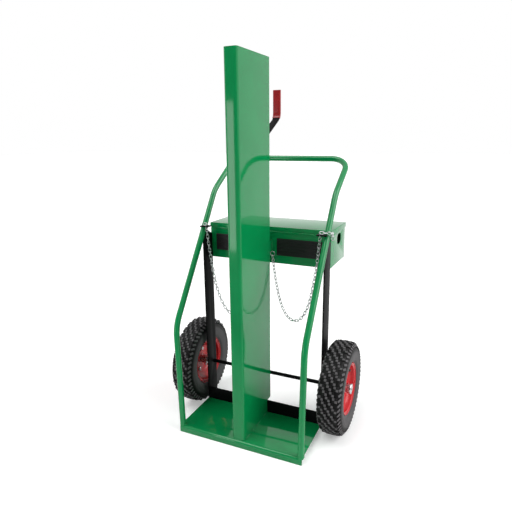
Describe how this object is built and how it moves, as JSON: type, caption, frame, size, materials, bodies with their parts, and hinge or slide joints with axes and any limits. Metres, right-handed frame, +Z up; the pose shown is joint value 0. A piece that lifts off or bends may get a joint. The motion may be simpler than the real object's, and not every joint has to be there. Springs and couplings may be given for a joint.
{
  "type": "gas cylinder trolley",
  "caption": "Upright steel trolley with a tall fire barrier between its cylinder bays, a bent tube handle, a lidded toolbox, retaining chains and large pneumatic wheels.",
  "frame": {"origin": "on the floor, under the middle of the width and of the depth", "axes": "+Z up, +X to the right seen from the open front, +Y towards the push bar"},
  "size_m": [0.792, 0.5896, 1.545],
  "materials": {
    "green_paint": "glossy powder coat",
    "black_paint": "satin",
    "red_paint": "glossy",
    "zinc_steel": "bright zinc plate",
    "tyre_rubber": "matte rubber",
    "tube_rubber": "matte rubber",
    "pad_rubber": "satin rubber",
    "red_vinyl": "dipped vinyl",
    "mineral_core": "fibrous board"
  },
  "bodies": {
    "frame": {"base_plate": "green_paint", "rear_cross_bar": "black_paint", "left_upright": "black_paint", "right_upright": "black_paint", "handle_tube": "green_paint", "firewall_shell": "green_paint", "firewall_rear_channel": "green_paint", "firewall_core": "mineral_core", "firewall_top_cap": "green_paint", "firewall_stay": "green_paint", "hose_hook": "black_paint", "hook_sleeve": "red_vinyl", "toolbox_tray": "green_paint", "toolbox_left_end": "green_paint", "toolbox_right_end": "green_paint", "hinge_fixed_leaf": "green_paint", "hinge_pin": "zinc_steel", "left_rest_pad": "pad_rubber", "right_rest_pad": "pad_rubber", "axle": "black_paint", "left_spacer": "zinc_steel", "right_spacer": "zinc_steel", "left_washer": "zinc_steel", "right_washer": "zinc_steel", "left_cotter_pin": "zinc_steel", "right_cotter_pin": "zinc_steel", "left_end_links": "zinc_steel", "right_end_links": "zinc_steel", "left_chain_bracket": "black_paint", "right_chain_bracket": "black_paint", "left_chain_eye": "zinc_steel", "right_chain_eye": "zinc_steel"},
    "left_wheel": {"left_tyre": "tyre_rubber", "left_inner_tube": "tube_rubber", "left_rim_outer": "red_paint", "left_rim_inner": "red_paint", "left_hub": "zinc_steel", "left_outer_bearing": "zinc_steel", "left_inner_bearing": "zinc_steel", "left_rim_bolts": "zinc_steel", "left_valve": "tube_rubber", "left_hub_cap": "zinc_steel"},
    "right_wheel": {"right_tyre": "tyre_rubber", "right_inner_tube": "tube_rubber", "right_rim_outer": "red_paint", "right_rim_inner": "red_paint", "right_hub": "zinc_steel", "right_outer_bearing": "zinc_steel", "right_inner_bearing": "zinc_steel", "right_rim_bolts": "zinc_steel", "right_valve": "tube_rubber", "right_hub_cap": "zinc_steel"},
    "lid": {"toolbox_lid": "green_paint", "hinge_lid_leaf": "green_paint"},
    "left_chain": {"left_chain": "zinc_steel"},
    "right_chain": {"right_chain": "zinc_steel"}
  },
  "joints": [
    {"name": "left_wheel_spin", "type": "hinge", "parent": "frame", "child": "left_wheel", "pos_m": [-0.3445, 0.00915, 0.2], "axis": [1, 0, 0], "continuous": true},
    {"name": "right_wheel_spin", "type": "hinge", "parent": "frame", "child": "right_wheel", "pos_m": [0.3445, 0.00915, 0.2], "axis": [1, 0, 0], "continuous": true},
    {"name": "lid_hinge", "type": "hinge", "parent": "frame", "child": "lid", "pos_m": [0, 0.02785, 0.8525], "axis": [1, 0, 0], "range_deg": [0, 46]},
    {"name": "left_chain_swing", "type": "hinge", "parent": "frame", "child": "left_chain", "pos_m": [-0.0311, 0.01115, 0.752], "axis": [0.8795, 0.2199, -0.4221], "range_deg": [-12, 8]},
    {"name": "right_chain_swing", "type": "hinge", "parent": "frame", "child": "right_chain", "pos_m": [0.0311, 0.01115, 0.752], "axis": [0.8795, -0.2199, 0.4221], "range_deg": [-12, 8]}
  ]
}
